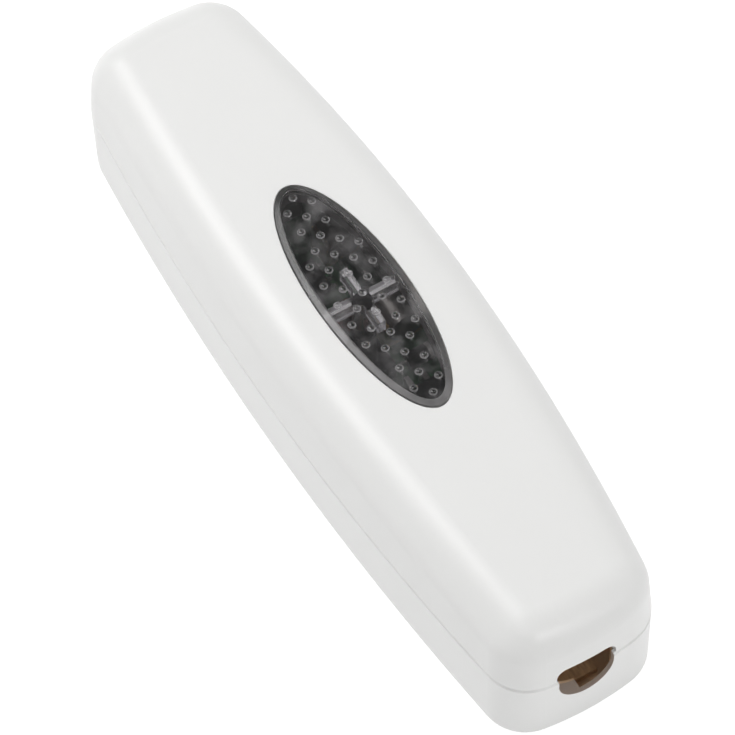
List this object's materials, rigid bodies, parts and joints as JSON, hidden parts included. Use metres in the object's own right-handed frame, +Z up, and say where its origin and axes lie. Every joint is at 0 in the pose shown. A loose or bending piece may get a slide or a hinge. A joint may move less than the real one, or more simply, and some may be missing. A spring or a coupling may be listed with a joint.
{
  "type": "inline cord dimmer",
  "caption": "Slim two-shell inline cord dimmer with bowed sides, a crowned top, an oval dotted clear push button and a cord inlet at each end.",
  "frame": {"origin": "centre of the underside, on the surface that the dimmer rests on", "axes": "+X along the body from the mains cord inlet to the lamp cord inlet, +Y across it, +Z up through the push button"},
  "size_m": [0.1118, 0.03, 0.0273],
  "materials": {
    "white_plastic": "satin moulded",
    "smoked_clear": "clear, tinted grey",
    "board_laminate": "solder mask",
    "black_plastic": "moulded",
    "terminal_plastic": "moulded",
    "fibre_brown": "pressed fibre",
    "zinc_steel": "zinc plated",
    "brass": "plain",
    "aluminium": "sheet",
    "yellow_box": "cast",
    "blue_coat": "dipped",
    "ferrite": "sintered",
    "copper_wire": "enamelled",
    "can_sleeve": "shrunk sleeve",
    "lamp_red": "diffused",
    "fuse_glass": "clear",
    "cap_nickel": "nickel plated",
    "resistor_coat": "dipped"
  },
  "bodies": {
    "housing": {"top_cover": "white_plastic", "base_shell": "white_plastic", "circuit_board": "board_laminate", "switch_body": "black_plastic", "mains_terminal_block": "terminal_plastic", "lamp_terminal_block": "terminal_plastic", "terminal_clamps": "brass", "terminal_screws": "zinc_steel", "mains_cord_clamp": "fibre_brown", "lamp_cord_clamp": "fibre_brown", "cord_pads": "fibre_brown", "cord_clamp_screws": "zinc_steel", "housing_screws": "zinc_steel", "film_capacitor": "yellow_box", "varistor": "blue_coat", "choke_core": "ferrite", "choke_winding": "copper_wire", "electrolytic_capacitor": "can_sleeve", "dimmer_chip": "black_plastic", "indicator_led": "lamp_red", "fuse_tube": "fuse_glass", "fuse_end_caps": "cap_nickel", "fuse_clips": "brass", "resistors": "resistor_coat", "diode": "black_plastic", "heat_sink": "aluminium", "triac": "black_plastic", "heat_sink_screw": "zinc_steel"},
    "button": {"push_button": "smoked_clear"},
    "plunger": {"switch_plunger": "black_plastic"}
  },
  "joints": [
    {"name": "button_press", "type": "slide", "parent": "housing", "child": "button", "axis": [0, 0, -1], "range_m": [0, 0.0008], "stiffness_N_per_m": 1500},
    {"name": "plunger_press", "type": "slide", "parent": "housing", "child": "plunger", "axis": [0, 0, -1], "range_m": [0, 0.0008]}
  ],
  "couplings": [
    {"joint": "plunger_press", "follows": "button_press", "ratio": 1}
  ]
}
